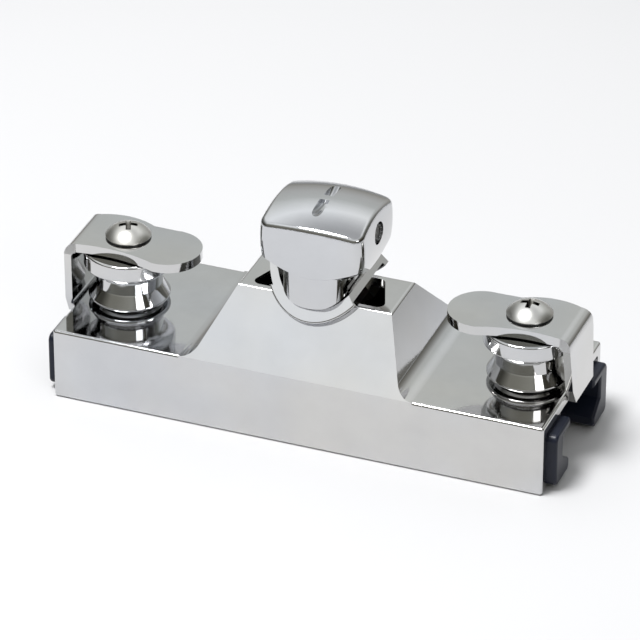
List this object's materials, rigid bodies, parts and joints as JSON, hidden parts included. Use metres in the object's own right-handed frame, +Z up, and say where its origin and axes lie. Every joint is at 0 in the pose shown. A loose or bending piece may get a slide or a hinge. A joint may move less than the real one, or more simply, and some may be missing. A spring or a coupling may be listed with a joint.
{
  "type": "mainsheet traveller car",
  "caption": "Stainless track car with a rocking toggle head and a line sheave under a cover plate at each end, on composite sliders.",
  "frame": {"origin": "centre of the car's underside, at the middle of its footprint", "axes": "+X along the track, to the right; +Y across the track, away from the front face; +Z up, away from the track"},
  "size_m": [0.1562, 0.0516, 0.0681],
  "materials": {
    "polished_steel": "mirror-polished stainless steel",
    "fastener_steel": "bright stainless steel, tumbled",
    "composite": "fibre-filled black composite, slightly glossy",
    "acetal": "black acetal, satin",
    "bronze": "plain bearing bronze"
  },
  "bodies": {
    "car": {"car_body": "polished_steel", "left_cover_plate": "polished_steel", "left_axle_post": "fastener_steel", "left_axle_screw": "fastener_steel", "left_screw_washer": "acetal", "left_axle_nut": "fastener_steel", "left_thrust_washer": "acetal", "right_cover_plate": "polished_steel", "right_axle_post": "fastener_steel", "right_axle_screw": "fastener_steel", "right_screw_washer": "acetal", "right_axle_nut": "fastener_steel", "right_thrust_washer": "acetal", "front_left_slider": "composite", "front_right_slider": "composite", "back_left_slider": "composite", "back_right_slider": "composite"},
    "toggle": {"toggle_head": "polished_steel", "toggle_stem": "fastener_steel", "cross_pin": "fastener_steel", "rocker_washer": "fastener_steel", "stem_nut": "fastener_steel"},
    "liner": {"saddle_liner": "polished_steel"},
    "left_wheel": {"left_sheave": "polished_steel", "left_sheave_bush": "bronze"},
    "right_wheel": {"right_sheave": "polished_steel", "right_sheave_bush": "bronze"}
  },
  "joints": [
    {"name": "toggle_rock", "type": "hinge", "parent": "car", "child": "toggle", "pos_m": [0, 0, 0.0525], "axis": [0, 1, 0], "range_deg": [-16, 16]},
    {"name": "liner_rock", "type": "hinge", "parent": "car", "child": "liner", "pos_m": [0, 0, 0.0525], "axis": [0, 1, 0], "range_deg": [-11.2, 11.2]},
    {"name": "left_sheave_spin", "type": "hinge", "parent": "car", "child": "left_wheel", "pos_m": [-0.0616, 0, 0.031], "axis": [0, 0, 1], "continuous": true},
    {"name": "right_sheave_spin", "type": "hinge", "parent": "car", "child": "right_wheel", "pos_m": [0.0616, 0, 0.031], "axis": [0, 0, 1], "continuous": true}
  ],
  "couplings": [
    {"joint": "liner_rock", "follows": "toggle_rock", "ratio": 0.7}
  ]
}
